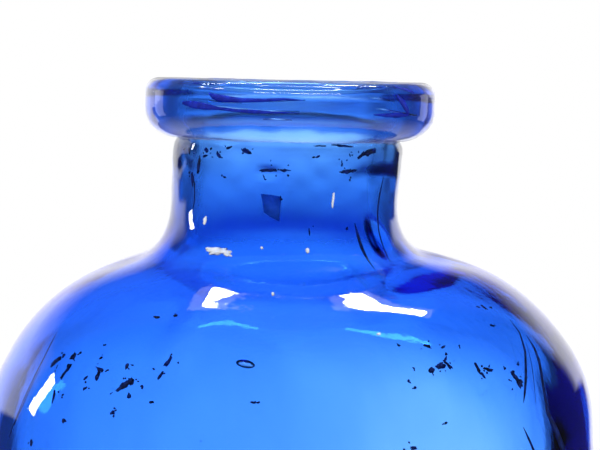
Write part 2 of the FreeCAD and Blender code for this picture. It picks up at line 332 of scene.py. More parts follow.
def finish_mesh(bm, name):
    """A smooth-shaded object at the origin from a bmesh."""
    mesh = bpy.data.meshes.new(name)
    bm.to_mesh(mesh)
    bm.free()
    mesh.shade_smooth()
    piece = bpy.data.objects.new(name, mesh)
    bpy.context.scene.collection.objects.link(piece)
    return piece


print("tool wrinkles up to", WRINKLE, "mm")

# %% [markdown]
# ## The blown body
# One closed skin, outside and inside, from the push-up under the foot round the neck's sheared end and down
# the inside to the floor. A Solidify modifier would give it one thickness everywhere, and blown glass has a
# thick heel and its own inner curve, so both sides are in the section.

# %% Section of the blown body
PUSH_UP, FOOT_IN, FOOT_OUT, HEEL_R = 4.0, 22.0, 29.0, 6.0
FLOOR_TOP, INNER_HEEL_R, HEEL_THICK = 8.5, 9.0, 5.5


def body_section():
    """Half section of the body as one line from pole to pole."""
    dome = (FOOT_IN**2 + PUSH_UP**2) / (2 * PUSH_UP)
    dome_centre = (0, PUSH_UP - dome)
    dome_turn = math.atan2(-dome_centre[1], FOOT_IN)
    points = [(0, PUSH_UP)] + arc(dome_centre, dome, math.pi / 2, dome_turn, COARSE)
    points += line((FOOT_IN, 0), (FOOT_OUT, 0), COARSE)
    points += arc((FOOT_OUT, HEEL_R), HEEL_R, -math.pi / 2, 0, MIDDLING)
    points += line((BODY_R, HEEL_R), (BODY_R, SHOULDER[1]), COARSE)
    fillet, turn = neck_round(NECK_R, NECK_FILLET, SHOULDER_R)
    points += arc(SHOULDER, SHOULDER_R, 0, turn, FINE)
    points += arc(fillet, NECK_FILLET, math.pi + turn, math.pi, FINE)
    points += line((NECK_R, fillet[1]), (NECK_R, NECK_END), FINE)
    points += line((NECK_R, NECK_END), (MOUTH_R, NECK_END), FINE)
    points += line((MOUTH_R, NECK_END), (MOUTH_R, LEDGE_TOP), FINE)
    points += line((MOUTH_R, LEDGE_TOP), (BORE_R, LEDGE_FOOT), FINE / 2)
    inner_r = SHOULDER_R - SIDE_WALL
    fillet, turn = neck_round(BORE_R, INNER_NECK_FILLET, inner_r)
    points += line((BORE_R, LEDGE_FOOT), (BORE_R, fillet[1]), FINE)
    points += arc(fillet, INNER_NECK_FILLET, math.pi, math.pi + turn, FINE)
    points += arc(SHOULDER, inner_r, turn, 0, FINE)
    heel = (BODY_R - SIDE_WALL - INNER_HEEL_R, HEEL_THICK + INNER_HEEL_R)
    points += line((BODY_R - SIDE_WALL, SHOULDER[1]), (BODY_R - SIDE_WALL, heel[1]), COARSE)
    drop = heel[1] - FLOOR_TOP
    floor = (heel[0] ** 2 + drop**2 - INNER_HEEL_R**2) / (2 * (INNER_HEEL_R - drop))
    floor_turn = math.atan2(heel[1] - (FLOOR_TOP - floor), heel[0])
    points += arc(heel, INNER_HEEL_R, 0, floor_turn - math.pi, MIDDLING)
    points += arc((0, FLOOR_TOP - floor), floor, floor_turn, math.pi / 2, COARSE)
    return points


section = body_section()
body_bm = spun(section, soft_from=90, soft_rounds=40)
uneven(body_bm, outside=0.10, inside=0.35, grain=(16, 16, 32))
print("body section", len(section), "points,", len(body_bm.verts), "points spun")

# %% [markdown]
# ## Seeds
# Bubbles that the melt did not lose are called seeds. Each is a small ball whose faces look inwards, so the
# closed skin of the glass has a closed hole in it. A boolean would do the same and take far longer.

# %% Seeds in the body's wall
def add_seed(bm, centre, size, turn=(0, 0, 0), detail=2):
    """A bubble inside a wall: a stretched ball whose faces look into the bubble."""
    place = Matrix.Translation(Vector(centre) * MM) @ Euler(turn).to_matrix().to_4x4()
    place @= Matrix.Diagonal(Vector((*[s * MM for s in size], 1)))
    ball = bmesh.ops.create_icosphere(bm, subdivisions=detail, radius=1, matrix=place)
    faces = {face for vert in ball["verts"] for face in vert.link_faces}
    bmesh.ops.reverse_faces(bm, faces=list(faces))


random.seed(1860)
SEED_COUNT, SEED_HEIGHT, SEED_DEPTH = 46, (16, 124), (0.8, 1.7)
SEED_LENGTH, SEED_SLIM, SEED_STRETCH = (0.12, 0.32), 0.55, (0.8, 1.6)
BIG_SEED_X, BIG_SEED_Z, BIG_SEED_DEPTH = -4.1, 121.6, 1.2
BIG_SEED, BIG_SEED_TURN = (0.95, 0.4, 0.45), (0, 0.25, 0)


def on_wall(x, z, depth):
    """A point in the front wall at a given x and height, depth millimetres under the outside."""
    if z > SHOULDER[1]:
        radius = SHOULDER[0] + math.sqrt(max(0, (SHOULDER_R - depth) ** 2 - (z - SHOULDER[1]) ** 2))
    else:
        radius = BODY_R - depth
    return (x, -math.sqrt(max(0, radius**2 - x**2)), z)


big_spot = on_wall(BIG_SEED_X, BIG_SEED_Z, BIG_SEED_DEPTH)
add_seed(body_bm, big_spot, BIG_SEED, turn=BIG_SEED_TURN, detail=4)
for _ in range(SEED_COUNT):
    angle, height = random.uniform(0, math.tau), random.uniform(*SEED_HEIGHT)
    radius = on_wall(0, height, random.uniform(*SEED_DEPTH))[1]
    length = random.uniform(*SEED_LENGTH)
    spot = (radius * math.sin(angle), radius * math.cos(angle), height)
    size = (length * SEED_SLIM, length * SEED_SLIM, length * random.uniform(*SEED_STRETCH))
    add_seed(body_bm, spot, size, turn=(0, 0, angle))
for vert in body_bm.verts:
    vert.co = crooked(vert.co)
body_wall = BVHTree.FromBMesh(body_bm)
blown_body = finish_mesh(body_bm, "blown_body_glass")
print("blown body:", len(blown_body.data.polygons), "faces")

# %% [markdown]
# ## Threads
# Stirring and winding draw streaks and bubbles out into threads. A curve with a bevel could make one, but the
# thread has to follow the wall at one depth, so rings are set in the wall along its route and bridged.

# %% Helper that draws out a thread
THREAD_SIDES = 8


def draw_thread(bm, tree, points, depth, flat):
    """A tapered thread through (x, y, half width) in pixels. flat is its thickness over its width."""
    faces, last_ring = [], []
    for place, (x, y, width) in enumerate(points):
        ahead, behind = points[min(place + 1, len(points) - 1)], points[max(place - 1, 0)]
        turn = math.degrees(math.atan2(ahead[1] - behind[1], ahead[0] - behind[0]))
        half = width / PIXELS_PER_MM * MM
        across = Matrix(((0, 0, 1, 0), (half, 0, 0, 0), (0, half * flat, 0, 0), (0, 0, 0, 1)))
        spot = wall_spot(tree, x, y, turn, depth) @ across
        is_end = place in (0, len(points) - 1)
        ring = bmesh.ops.create_circle(
            bm, cap_ends=is_end, segments=THREAD_SIDES, radius=1, matrix=spot
        )["verts"]
        edges = list({edge for vert in ring for edge in vert.link_edges})
        faces += {face for vert in ring for face in vert.link_faces}
        if last_ring:
            faces += bmesh.ops.bridge_loops(bm, edges=last_ring + edges)["faces"]
        last_ring = edges
    bmesh.ops.recalc_face_normals(bm, faces=faces)
    return faces


print("threads have", THREAD_SIDES, "sides")

# %% [markdown]
# ## The applied lip
# A second, smaller gather was run round the neck's end and pressed with a lipping tool. Winding it on drew
# its bubbles out into long threads, which look like dark streaks from the side. It is spun like the body, as
# a closed ring, because it is a piece of glass of its own that only touches the neck.

# %% Section of the lip ring
UNDER_ROUND, TOP_ROUND, MOUTH_EDGE = 3.45, 1.6, 1.1
LIP_WEAR, WEAR_REACH = 1.1, 4.0
SOCKET_R = NECK_R + LAP_GAP
SEAT = NECK_END + LAP_GAP


def lip_section():
    """Closed half section of the ring, from its seat on the neck's end and round."""
    points = line((MOUTH_R, SEAT), (SOCKET_R, SEAT), FINE)
    points += line((SOCKET_R, SEAT), (SOCKET_R, LIP_UNDER), FINE)
    under = (LIP_R - UNDER_ROUND, LIP_UNDER + UNDER_ROUND)
    points += line((SOCKET_R, LIP_UNDER), (under[0], LIP_UNDER), FINE)
    points += arc(under, UNDER_ROUND, -math.pi / 2, 0, FINE / 2)
    upper = (LIP_R - TOP_ROUND, TOP - TOP_ROUND)
    points += line((LIP_R, under[1]), (LIP_R, upper[1]), FINE / 2)
    points += arc(upper, TOP_ROUND, 0, math.pi / 2, FINE / 3)
    edge = (MOUTH_R + MOUTH_EDGE, TOP - MOUTH_EDGE)
    points += line((upper[0], TOP), (edge[0], TOP), FINE / 2)
    points += arc(edge, MOUTH_EDGE, math.pi / 2, math.pi, FINE / 3)
    points += line((MOUTH_R, edge[1]), (MOUTH_R, SEAT), FINE / 2)
    return [(MOUTH_R, SEAT)] + points


print("lip section", len(lip_section()), "points")

# %% The lip ring, worn at its front edge, with drawn bubbles
# A thread's points are pixel x and y and its half width in pixels.
lip_bm = spun(lip_section(), soft_from=TOP, soft_rounds=0)
uneven(lip_bm, outside=0.06, inside=0.15, grain=(12, 12, 2.5))
for vert in lip_bm.verts:
    off_axis = math.hypot(vert.co.x, vert.co.y)
    from_edge = math.dist((off_axis, vert.co.z), (LIP_R * MM, TOP * MM))
    worn = max(0, 1 - from_edge / (WEAR_REACH * MM))
    facing = max(0, -vert.co.y / (LIP_R * MM))
    vert.co -= vert.normal * worn**2 * LIP_WEAR * MM * facing**2
    vert.co = crooked(vert.co)
THREADS = [
    [(208, 95, 0.5), (216, 97, 1.5), (226, 99, 1.7), (246, 101, 1.1), (272, 102, 0.8), (306, 101, 0.3)],
    [(196, 105, 0.4), (214, 107, 0.8), (238, 110, 1.0), (262, 112, 1.0), (300, 112, 0.3)],
    [(206, 101, 0.3), (222, 103, 0.7), (240, 104, 0.3)],
    [(380, 109, 0.4), (392, 111, 1.2), (406, 114, 1.4), (420, 116, 0.4)],
    [(372, 99, 0.3), (384, 100, 1.0), (398, 102, 0.4)],
    [(262, 121, 0.3), (276, 122, 0.9), (292, 122, 0.3)],
]
THREAD_DEPTH = 0.9
lip_wall = BVHTree.FromBMesh(lip_bm)
for thread in THREADS:
    bmesh.ops.reverse_faces(lip_bm, faces=draw_thread(lip_bm, lip_wall, thread, THREAD_DEPTH, 1))
applied_lip = finish_mesh(lip_bm, "applied_lip_glass")
print("applied lip:", len(applied_lip.data.polygons), "faces")

# %% [markdown]
# ## Flecks, cords, stain and painted glints
# Bits of the pot and of scale were never melted in, cords of dark glass were drawn down the sides, and a grey
# stain came later. Pale specks in the skin are painted highlights, set where small glints of the lamps show.
# A texture could paint them, but only a mesh inside the wall shifts against the far wall as real ones do.
# Each was read off the photograph.

# %% Marks in the glass, read off the photograph
# Flecks and painted glints: pixel x and y, half length, half width, and turn in degrees. Cords: points as in
# a thread.
FLECKS = [
    (122, 384, 8.5, 2.5, 145), (129, 380, 3.5, 2.5, 45), (127, 395, 2, 1.5, 0), (125, 365, 2.5, 1.5, 100),
    (131, 363, 1.5, 1, 0), (98, 367, 4.5, 1.2, 30), (96, 373, 5, 2, 95), (83, 387, 2.5, 1.5, 165),
    (83, 377, 3, 1.5, 130), (55, 359, 6, 2.5, 160), (62, 354, 3, 2, 165), (72, 354, 4, 3, 75),
    (63, 371, 7, 1.5, 120), (51, 397, 6, 1.5, 80), (61, 420, 1.5, 1.5, 0), (29, 442, 3, 2.5, 110),
    (110, 412, 3.5, 2, 170), (156, 315, 2, 1.5, 0), (175, 313, 1.5, 1, 0), (102, 343, 1, 1, 0),
    (99, 356, 2, 1, 165), (167, 359, 5, 1.5, 110), (152, 367, 1, 1, 0), (159, 373, 3, 1, 110),
    (140, 385, 1, 1, 0), (149, 401, 1.2, 1, 0), (253, 401, 2.5, 1.5, 0),
    (522, 381, 6, 3.5, 50), (517, 375, 5, 2, 40), (515, 370, 1.5, 1.2, 0), (507, 367, 1.7, 1, 130),
    (520, 363, 1.5, 1.5, 0), (443, 364, 4, 3, 150), (450, 363, 4, 1.5, 45), (447, 357, 3.5, 1, 125),
    (434, 369, 3, 2.5, 135), (429, 344, 3.5, 1.5, 175), (444, 345, 3, 1.2, 140), (461, 344, 1.5, 1, 100),
    (480, 367, 5, 1.5, 80), (489, 368, 4, 1.5, 0), (485, 373, 3, 1.2, 65), (486, 306, 4, 1.5, 40),
    (494, 324, 2, 1, 170), (410, 379, 2, 1.5, 120), (415, 366, 1.5, 0.8, 45), (417, 386, 1.2, 1, 0),
    (448, 422, 1.7, 1.2, 150), (415, 448, 4.5, 1.2, 175), (400, 343, 1.3, 1, 0),
    (244, 150, 4, 2, 30), (227, 147, 3, 1.2, 165), (203, 156, 3.5, 1, 175), (216, 155, 4, 1.2, 35),
    (204, 151, 3, 2, 40), (222, 177, 2, 1.2, 20), (268, 170, 7, 1.6, 175), (284, 170, 5, 1.2, 5),
    (263, 177, 2.5, 0.8, 70), (320, 144, 6, 0.9, 175), (345, 144, 9, 0.9, 175), (352, 171, 7, 2, 175),
    (372, 152, 9, 2, 165), (363, 156, 5, 1.2, 150), (344, 164, 3.5, 0.8, 90), (319, 157, 2, 1, 150),
    (187, 152, 4, 1.5, 60), (196, 165, 8, 2, 100), (190, 181, 5, 1.5, 80), (281, 199, 1.3, 1, 0),
    (349, 228, 1.2, 1.2, 0), (310, 229, 3, 0.6, 90),
]
CORDS_SEEN = [
    [(528, 334, 0.4), (536, 347, 2.2), (541, 360, 2.6), (545, 383, 2.2), (550, 412, 2.8), (559, 432, 4.4),
     (566, 452, 4.8)],
    [(511, 318, 0.3), (521, 331, 1.4), (527, 350, 2.0), (528, 374, 2.0), (527, 392, 1.6), (526, 402, 0.3)],
    [(528, 342, 0.3), (533, 360, 0.5), (536, 380, 0.5), (538, 402, 0.2)],
    [(526, 427, 0.3), (531, 438, 1.4), (537, 452, 1.6)],
    [(56, 330, 0.3), (49, 343, 1.0), (42, 357, 1.1), (28, 385, 0.9), (17, 410, 0.9), (7, 438, 0.9)],
    [(39, 366, 0.3), (30, 384, 0.7), (22, 402, 0.7), (12, 425, 0.7)],
    [(357, 222, 0.4), (360, 234, 1.8), (364, 247, 2.2), (369, 258, 1.6), (376, 268, 0.4)],
    [(386, 176, 0.5), (382, 195, 1.2), (380, 212, 1.3), (381, 230, 1.1), (386, 248, 0.9), (391, 260, 0.4)],
    [(190, 172, 0.5), (192, 184, 0.9), (192, 200, 0.9), (190, 212, 0.3)],
]
LIP_CORDS = [
    [(206, 94, 0.4), (211, 97, 2.6), (218, 99, 3.4), (228, 100, 2.9), (240, 101, 2.1), (262, 101, 1.7),
     (284, 100, 1.2), (304, 101, 0.3)],
    [(180, 103, 1.5), (191, 105, 3.6), (204, 107, 3.0), (216, 109, 1.4), (232, 111, 1.3), (252, 112, 1.8),
     (272, 113, 1.0), (300, 114, 0.3)],
    [(376, 115, 0.4), (388, 116, 1.6), (400, 116, 2.2), (412, 115, 0.8)],
    [(399, 94, 0.8), (405, 102, 3.6), (409, 109, 3.4), (411, 115, 1.0)],
    [(394, 84, 0.6), (406, 87, 2.6), (416, 92, 1.2)],
]
# Pale specks set where small glints of the lamps show: painted highlights.
GLINT_SPECKS = [
    (218, 251, 11, 4, 25), (227, 255, 5, 1.5, 40), (205, 221, 1.6, 3.5, 10), (333, 201, 1.3, 6, 5),
    (307, 251, 1.6, 2.4, 0), (262, 248, 1.2, 1.2, 0), (273, 294, 1.2, 1.8, 0), (378, 334, 1.5, 1.2, 0),
]
STAIN = [(259, 193), (270, 194), (281, 196), (280, 208), (279, 220), (270, 216), (262, 211), (261, 202)]
FLECK_LOOK, CORD_LOOK, STAIN_LOOK, GLINT_LOOK = range(4)
print(len(FLECKS), "flecks,", len(CORDS_SEEN) + len(LIP_CORDS), "cords,", len(GLINT_SPECKS), "specks of lime")

# %% Crumbs round each fleck
LARGE = 3
CRUMB_REACH, CRUMB_SQUASH = (1.1, 2.2), 0.7
CRUMB_LENGTH, CRUMB_WIDTH = (0.5, 1.5), (0.4, 0.9)
crumbs = []
for x, y, length, _, _ in FLECKS:
    for _ in range(3 if length > LARGE else 1):
        apart, turn = random.uniform(*CRUMB_REACH) * length, random.uniform(0, 360)
        angle = math.radians(turn)
        crumb_x, crumb_y = x + apart * math.cos(angle), y + CRUMB_SQUASH * apart * math.sin(angle)
        crumbs.append((crumb_x, crumb_y, random.uniform(*CRUMB_LENGTH), random.uniform(*CRUMB_WIDTH), turn))
print(len(crumbs), "crumbs")

# %% Flakes of scale, and pale flakes for the painted highlights
GLINT_DEPTH, FLECK_DEPTH, FLECK_THICK = 0.02, 0.7, 0.18
FLAKE_GRAIN, CHIP_GRAIN, CHIP_SHARE, RAGGED = 2.2, 7, 0.8, 0.85
flecks_bm = bmesh.new()
flakes = [(*fleck, FLECK_DEPTH, FLECK_LOOK) for fleck in FLECKS + crumbs]
# The pale specks are painted highlights, laid just under the skin.
flakes += [(*speck, GLINT_DEPTH, GLINT_LOOK) for speck in GLINT_SPECKS]
for x, y, length, width, turn, depth, look in flakes:
    spot = wall_spot(body_wall, x, y, turn, depth)
    size = (length / PIXELS_PER_MM * MM, width / PIXELS_PER_MM * MM, FLECK_THICK * MM, 1)
    flake = bmesh.ops.create_icosphere(
        flecks_bm, subdivisions=3 if length > LARGE else 2, radius=1, matrix=spot @ Matrix.Diagonal(size)
    )
    for vert in flake["verts"]:
        rough = noise.noise(vert.co / MM * FLAKE_GRAIN) + CHIP_SHARE * noise.noise(vert.co / MM * CHIP_GRAIN)
        vert.co += (vert.co - spot.translation) * RAGGED * rough
        for face in vert.link_faces:
            face.material_index = look
print(len(flakes), "flakes")

# %% Cords in both gathers
CORD_FLAT = 0.5
for cord in CORDS_SEEN:
    draw_thread(flecks_bm, body_wall, cord, FLECK_DEPTH, CORD_FLAT)
for cord in LIP_CORDS:
    for face in draw_thread(flecks_bm, lip_wall, cord, FLECK_DEPTH, CORD_FLAT):
        face.material_index = CORD_LOOK
print("cords drawn", FLECK_DEPTH, "mm deep")

# %% The stain, a thin plate in the neck's wall
STAIN_DEPTH, STAIN_THICK = 1.1, 0.12
stain_spots = [wall_spot(body_wall, x, y, 0, STAIN_DEPTH) for x, y in STAIN]
stain = flecks_bm.faces.new([flecks_bm.verts.new(spot.translation) for spot in stain_spots])
grown = bmesh.ops.extrude_face_region(flecks_bm, geom=[stain], use_keep_orig=True)["geom"]
sunk = [part for part in grown if isinstance(part, bmesh.types.BMVert)]
inwards = -sum((spot.col[2].xyz for spot in stain_spots), Vector()).normalized()
bmesh.ops.translate(flecks_bm, verts=sunk, vec=inwards * STAIN_THICK * MM)
stain_faces = list({face for vert in sunk for face in vert.link_faces} | {stain})
for face in stain_faces:
    face.material_index = STAIN_LOOK
bmesh.ops.recalc_face_normals(flecks_bm, faces=stain_faces)
flecks = finish_mesh(flecks_bm, "dark_flecks")
print("dark flecks:", len(flecks.data.polygons), "faces")

# %% [markdown]
# ## Cobalt glass
# The colour is in the depth of the glass, not on its skin, so a volume absorption makes it: thin walls are
# sky blue and thick ones ink. The skin is clear, with the faint ripple and cords of glass that was never
# quite at one heat.

# %% Ripple and cords, a node group that both gathers share
def cord_group():
    """Node group: a colour that wavers a little, a roughness and a height, all over Object coordinates."""
    group = bpy.data.node_groups.new("glass_cords", "ShaderNodeTree")
    group.interface.new_socket("Stretch", in_out="INPUT", socket_type="NodeSocketVector")
    group.interface.new_socket("Tint", in_out="OUTPUT", socket_type="NodeSocketColor")
    group.interface.new_socket("Roughness", in_out="OUTPUT", socket_type="NodeSocketFloat")
    group.interface.new_socket("Height", in_out="OUTPUT", socket_type="NodeSocketFloat")
    nodes, links = group.nodes, group.links
    inlet = nodes.new("NodeGroupInput")
    outlet = nodes.new("NodeGroupOutput")
    place = nodes.new("ShaderNodeTexCoord")
    stretch = nodes.new("ShaderNodeVectorMath")
    stretch.operation = "MULTIPLY"
    links.new(place.outputs["Object"], stretch.inputs[0])
    links.new(inlet.outputs["Stretch"], stretch.inputs[1])
    cords = nodes.new("ShaderNodeTexNoise")
    cords.inputs["Scale"].default_value = 90
    cords.inputs["Detail"].default_value = 3
    links.new(stretch.outputs[0], cords.inputs["Vector"])
    tint = nodes.new("ShaderNodeValToRGB")
    tint.color_ramp.elements[0].position = 0.35
    tint.color_ramp.elements[0].color = (0.86, 0.9, 1, 1)
    tint.color_ramp.elements[1].position = 0.6
    tint.color_ramp.elements[1].color = (1, 1, 1, 1)
    links.new(cords.outputs["Fac"], tint.inputs["Fac"])
    links.new(tint.outputs["Color"], outlet.inputs["Tint"])
    wear = nodes.new("ShaderNodeTexNoise")
    wear.inputs["Scale"].default_value = 900
    wear.inputs["Detail"].default_value = 2
    links.new(place.outputs["Object"], wear.inputs["Vector"])
    rough = nodes.new("ShaderNodeMapRange")
    rough.inputs["From Min"].default_value = 0.55
    rough.inputs["From Max"].default_value = 0.8
    rough.inputs["To Min"].default_value = 0.02
    rough.inputs["To Max"].default_value = 0.08
    links.new(wear.outputs["Fac"], rough.inputs["Value"])
    links.new(rough.outputs["Result"], outlet.inputs["Roughness"])
    hair = nodes.new("ShaderNodeTexNoise")
    hair.inputs["Scale"].default_value = 1100
    hair.inputs["Detail"].default_value = 2
    links.new(stretch.outputs[0], hair.inputs["Vector"])
    height = nodes.new("ShaderNodeMath")
    height.operation = "MULTIPLY_ADD"
    height.inputs[1].default_value = 0.15
    links.new(hair.outputs["Fac"], height.inputs[0])
    links.new(cords.outputs["Fac"], height.inputs[2])
    links.new(height.outputs["Value"], outlet.inputs["Height"])
    return group


CORDS = cord_group()
print("glass_cords group:", len(CORDS.nodes), "nodes")

# %% Cobalt glass, for both gathers
ABSORBED = (1.0, 0.5, 0.09)
HAZE = 0.28
RIPPLE = 0.04 * MM


def cobalt_glass(name, stretch, depth_of_colour, film):
    """Clear skin over a blue volume. stretch draws out the cords, and film is dust on the skin."""
    glass = bpy.data.materials.new(name)
    glass.use_nodes = True
    nodes, links = glass.node_tree.nodes, glass.node_tree.links
    skin = nodes["Principled BSDF"]
    skin.inputs["Transmission Weight"].default_value = 1
    skin.inputs["IOR"].default_value = 1.52
    skin.inputs["Sheen Weight"].default_value = film
    skin.inputs["Sheen Roughness"].default_value = 0.3
    cords = nodes.new("ShaderNodeGroup")
    cords.node_tree = CORDS
    cords.inputs["Stretch"].default_value = stretch
    links.new(cords.outputs["Tint"], skin.inputs["Base Color"])
    haze = nodes.new("ShaderNodeAttribute")
    haze.attribute_name = "haze"
    dull = nodes.new("ShaderNodeMath")
    dull.operation = "MULTIPLY_ADD"
    dull.inputs[1].default_value = HAZE
    links.new(haze.outputs["Fac"], dull.inputs[0])
    links.new(cords.outputs["Roughness"], dull.inputs[2])
    links.new(dull.outputs["Value"], skin.inputs["Roughness"])
    bump = nodes.new("ShaderNodeBump")
    bump.inputs["Distance"].default_value = RIPPLE
    links.new(cords.outputs["Height"], bump.inputs["Height"])
    links.new(bump.outputs["Normal"], skin.inputs["Normal"])
    depth = nodes.new("ShaderNodeVolumeAbsorption")
    depth.inputs["Color"].default_value = (*[1 - share for share in ABSORBED], 1)
    depth.inputs["Density"].default_value = depth_of_colour
    links.new(depth.outputs["Volume"], nodes["Material Output"].inputs["Volume"])
    return glass


blown_body.data.materials.append(cobalt_glass("cobalt_blown", (1, 1, 0.4), 620, film=0))
applied_lip.data.materials.append(cobalt_glass("cobalt_lip", (0.5, 0.5, 4), 470, film=0.35))
for piece, node in ((blown_body, "blown_body"), (applied_lip, "applied_lip")):
    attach(piece, "root")
    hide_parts(node)
print("glass on", blown_body.name, "and", applied_lip.name)

# %% [markdown]
# ## Scale, stain and painted glints
# Nothing foreign in the glass is one flat colour. Clots of noise between a dark and a light tone are enough
# at this size, and one function makes all four finishes. The white finish is a painted highlight.

# %% Finishes of the marks
def clotted(name, dark, light):
    """A dull colour in clots, from dark to light."""
    finish = bpy.data.materials.new(name)
    finish.use_nodes = True
    nodes, links = finish.node_tree.nodes, finish.node_tree.links
    place = nodes.new("ShaderNodeTexCoord")
    clot = nodes.new("ShaderNodeTexNoise")
    clot.inputs["Scale"].default_value = 1400
    links.new(place.outputs["Object"], clot.inputs["Vector"])
    shade = nodes.new("ShaderNodeValToRGB")
    for stop, at, colour in zip(shade.color_ramp.elements, (0.4, 0.65), (dark, light)):
        stop.position = at
        stop.color = (*colour, 1)
    links.new(clot.outputs["Fac"], shade.inputs["Fac"])
    links.new(shade.outputs["Color"], nodes["Principled BSDF"].inputs["Base Color"])
    nodes["Principled BSDF"].inputs["Roughness"].default_value = 0.6
    return finish


for look in (
    clotted("fleck", (0.002, 0.004, 0.05), (0.008, 0.03, 0.25)),
    clotted("dark_cord", (0.01, 0.02, 0.5), (0.02, 0.05, 0.7)),
    clotted("stain", (0.05, 0.2, 0.85), (0.08, 0.26, 0.95)),
    # A white finish for the specks that stand in for glints of the lamps: painted highlight.
    clotted("lime", (0.8, 0.85, 0.95), (0.95, 0.97, 1)),
):
    flecks.data.materials.append(look)
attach(flecks, "root")
print(len(flecks.data.materials), "finishes on", flecks.name)

# %% [markdown]
# ## Paper floor
# The bottle stands on pale paper that fades into the white surround, so no horizon shows. Near the bottle the
# paper is a plain surface that takes its shadow, and further out it glows as white as the surround. The glow
# is dimmer to mirror rays, because a bright floor would wash out the bottle's edges.

# %% Floor
FLOOR_R = 0.42
FADE_FROM, FADE_TO = 0.10, 0.36
MIRRORED_FLOOR = 0.25
floor_bm = bmesh.new()
bmesh.ops.create_circle(floor_bm, cap_ends=True, segments=96, radius=FLOOR_R)
floor = finish_mesh(floor_bm, "paper_floor")
paper = bpy.data.materials.new("paper")
paper.use_nodes = True
nodes, links = paper.node_tree.nodes, paper.node_tree.links
nodes["Principled BSDF"].inputs["Base Color"].default_value = (0.92, 0.92, 0.92, 1)
nodes["Principled BSDF"].inputs["Roughness"].default_value = 0.9
place = nodes.new("ShaderNodeTexCoord")
reach = nodes.new("ShaderNodeVectorMath")
reach.operation = "LENGTH"
links.new(place.outputs["Object"], reach.inputs[0])
fade = nodes.new("ShaderNodeMapRange")
fade.interpolation_type = "SMOOTHSTEP"
fade.inputs["From Min"].default_value = FADE_FROM
fade.inputs["From Max"].default_value = FADE_TO
links.new(reach.outputs["Value"], fade.inputs["Value"])
path = nodes.new("ShaderNodeLightPath")
mirror = nodes.new("ShaderNodeMath")
mirror.operation = "SUBTRACT"
links.new(path.outputs["Is Glossy Ray"], mirror.inputs[0])
links.new(path.outputs["Is Transmission Ray"], mirror.inputs[1])
dim = nodes.new("ShaderNodeMath")
dim.operation = "MULTIPLY_ADD"
dim.use_clamp = True
dim.inputs[1].default_value = MIRRORED_FLOOR - 1
dim.inputs[2].default_value = 1
links.new(mirror.outputs["Value"], dim.inputs[0])
glow = nodes.new("ShaderNodeEmission")
links.new(dim.outputs["Value"], glow.inputs["Strength"])
mix = nodes.new("ShaderNodeMixShader")
links.new(fade.outputs["Result"], mix.inputs["Fac"])
links.new(nodes["Principled BSDF"].outputs["BSDF"], mix.inputs[1])
links.new(glow.outputs["Emission"], mix.inputs[2])
links.new(mix.outputs["Shader"], nodes["Material Output"].inputs["Surface"])
floor.data.materials.append(paper)
print("floor", FLOOR_R, "m in radius")

# %% [markdown]
# ## Surround
# To the eye the surround is white. Glass has no edges without something darker beside the light, so rays that
# pass through the glass or are mirrored in it see a room: a lit backdrop behind the bottle and dimmer sides.
# A picture of a room would do this too, and two ramps over the compass bearing need no file.

# %% Bearings and how bright the room is at each
world = bpy.data.worlds.new("surround")
bpy.context.scene.world = world
world.use_nodes = True
nodes, links = world.node_tree.nodes, world.node_tree.links
place = nodes.new("ShaderNodeTexCoord")
parts = nodes.new("ShaderNodeSeparateXYZ")
links.new(place.outputs["Generated"], parts.inputs["Vector"])
bearing = nodes.new("ShaderNodeMath")
bearing.operation = "ARCTAN2"
links.new(parts.outputs["X"], bearing.inputs[0])
links.new(parts.outputs["Y"], bearing.inputs[1])


def turn_share(radians):
    """A bearing as a share of the turn, with the half turn in the middle."""
    share = nodes.new("ShaderNodeMath")
    share.operation = "MULTIPLY_ADD"
    share.inputs[1].default_value = 1 / math.tau
    share.inputs[2].default_value = 0.5
    links.new(radians, share.inputs[0])
    return share.outputs["Value"]


def room_ramp(levels, share):
    """A ramp of how bright the room is by bearing in degrees: 0 is behind the bottle, 90 to its right."""
    ramp = nodes.new("ShaderNodeValToRGB")
    ramp.color_ramp.interpolation = "EASE"
    stops = ramp.color_ramp.elements
    for degrees, level in levels:
        at = 0.5 + degrees / 360
        stop = stops[-int(at)] if at in (0, 1) else stops.new(at)
        stop.color = (level, level, level, 1)
    links.new(share, ramp.inputs["Fac"])
    return ramp.outputs["Color"]


SEEN_THROUGH = [
    (-180, 1.1), (-72, 1.1), (-56, 0.38), (-40, 0.28), (-29, 1.9), (0, 1.9), (22, 1.9), (31, 0.25),
    (44, 0.35), (62, 1.1), (180, 1.1),
]
MIRRORED = [
    (-180, 0.03), (-50, 0.04), (-44, 1.4), (-9, 1.4), (-4, 0.4), (4, 0.4), (9, 1.4), (29, 1.4), (37, 0.04),
    (180, 0.03),
]
print("room seen at", len(SEEN_THROUGH), "bearings and mirrored at", len(MIRRORED))

# %% The mirrored room, which ends above the backdrop and is wider at its foot
BACKDROP_TOP, ABOVE_BACKDROP = (0.2, 0.42), 0.04
BACKDROP_FLARE = {-0.03: 1.12, 0.05: 0.8}
low = nodes.new("ShaderNodeMapRange")
low.inputs["From Min"].default_value = BACKDROP_TOP[1]
low.inputs["From Max"].default_value = BACKDROP_TOP[0]
low.inputs["To Min"].default_value = ABOVE_BACKDROP
links.new(parts.outputs["Z"], low.inputs["Value"])
flare = nodes.new("ShaderNodeMapRange")
for end, (height, spread) in zip(("Min", "Max"), BACKDROP_FLARE.items()):
    flare.inputs["From " + end].default_value = height
    flare.inputs["To " + end].default_value = spread
links.new(parts.outputs["Z"], flare.inputs["Value"])
flared = nodes.new("ShaderNodeMath")
flared.operation = "MULTIPLY"
links.new(bearing.outputs["Value"], flared.inputs[0])
links.new(flare.outputs["Result"], flared.inputs[1])
mirrored = nodes.new("ShaderNodeVectorMath")
mirrored.operation = "SCALE"
